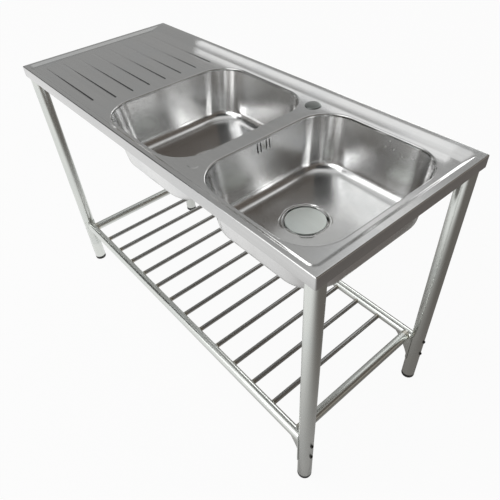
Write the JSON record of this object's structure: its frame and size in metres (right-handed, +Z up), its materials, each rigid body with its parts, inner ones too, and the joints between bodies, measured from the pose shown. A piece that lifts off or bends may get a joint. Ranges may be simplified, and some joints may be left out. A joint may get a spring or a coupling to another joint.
{
  "type": "free-standing kitchen sink unit",
  "caption": "Pressed steel sink top with a grooved drainboard and two deep bowls on four round tube legs, joined low down by an open rack of round tubes.",
  "frame": {"origin": "on the floor, under the middle of the unit's footprint", "axes": "+X along the unit from the drainboard to the bowls, +Y from the front to the back, +Z up"},
  "size_m": [1.202, 0.5, 0.78],
  "materials": {
    "deck_steel": "brushed stainless sheet",
    "tube_steel": "satin stainless tube",
    "polished_steel": "polished stainless",
    "cover_steel": "fine satin stainless",
    "zinc_steel": "zinc-plated steel",
    "screw_steel": "dark plated steel",
    "cap_steel": "polished",
    "foot_plastic": "black moulded plastic",
    "waste_plastic": "white moulded plastic",
    "gasket_rubber": "black rubber"
  },
  "bodies": {
    "stand": {"sink_deck": "deck_steel", "bowl_left": "deck_steel", "bowl_right": "deck_steel", "stiffener_front": "zinc_steel", "stiffener_back": "zinc_steel", "overflow_gasket": "gasket_rubber", "overflow_box": "waste_plastic", "overflow_screw": "polished_steel", "waste_cup_left": "polished_steel", "waste_gasket_left": "gasket_rubber", "waste_body_left": "waste_plastic", "waste_cup_right": "polished_steel", "waste_gasket_right": "gasket_rubber", "waste_body_right": "waste_plastic", "leg_front_left": "tube_steel", "leg_front_right": "tube_steel", "leg_back_left": "tube_steel", "leg_back_right": "tube_steel", "foot_front_left": "foot_plastic", "foot_front_right": "foot_plastic", "foot_back_left": "foot_plastic", "foot_back_right": "foot_plastic", "leg_socket_front_left": "zinc_steel", "leg_socket_front_right": "zinc_steel", "leg_socket_back_left": "zinc_steel", "leg_socket_back_right": "zinc_steel", "rack_bracket_front_left": "tube_steel", "rack_bracket_front_right": "tube_steel", "rack_bracket_back_left": "tube_steel", "rack_bracket_back_right": "tube_steel", "rack_screw_front_left_upper": "screw_steel", "rack_screw_front_left_lower": "screw_steel", "rack_screw_front_right_upper": "screw_steel", "rack_screw_front_right_lower": "screw_steel", "rack_screw_back_left_upper": "screw_steel", "rack_screw_back_left_lower": "screw_steel", "rack_screw_back_right_upper": "screw_steel", "rack_screw_back_right_lower": "screw_steel", "rack_front_rail": "tube_steel", "rack_back_rail": "tube_steel", "rack_left_rail": "tube_steel", "rack_right_rail": "tube_steel", "rack_slat_01": "tube_steel", "rack_slat_02": "tube_steel", "rack_slat_03": "tube_steel", "rack_slat_04": "tube_steel", "rack_slat_05": "tube_steel", "rack_slat_06": "tube_steel", "rack_slat_07": "tube_steel", "rack_slat_08": "tube_steel", "rack_slat_09": "tube_steel", "rack_slat_10": "tube_steel", "rack_slat_11": "tube_steel", "rack_slat_12": "tube_steel"},
    "basket_left": {"strainer_basket_left": "polished_steel"},
    "cover_left": {"drain_cover_left": "cover_steel"},
    "basket_right": {"strainer_basket_right": "polished_steel"},
    "cover_right": {"drain_cover_right": "cover_steel"},
    "tap_cap": {"tap_hole_cap": "cap_steel"}
  },
  "joints": [
    {"name": "basket_left_lift", "type": "slide", "parent": "stand", "child": "basket_left", "axis": [0, 0, 1], "range_m": [0, 0.215]},
    {"name": "cover_left_lift", "type": "slide", "parent": "basket_left", "child": "cover_left", "axis": [0, 0, 1], "range_m": [0, 0.175]},
    {"name": "basket_right_lift", "type": "slide", "parent": "stand", "child": "basket_right", "axis": [0, 0, 1], "range_m": [0, 0.215]},
    {"name": "cover_right_lift", "type": "slide", "parent": "basket_right", "child": "cover_right", "axis": [0, 0, 1], "range_m": [0, 0.175]},
    {"name": "tap_cap_lift", "type": "slide", "parent": "stand", "child": "tap_cap", "axis": [0, 0, 1], "range_m": [0, 0.04]}
  ]
}
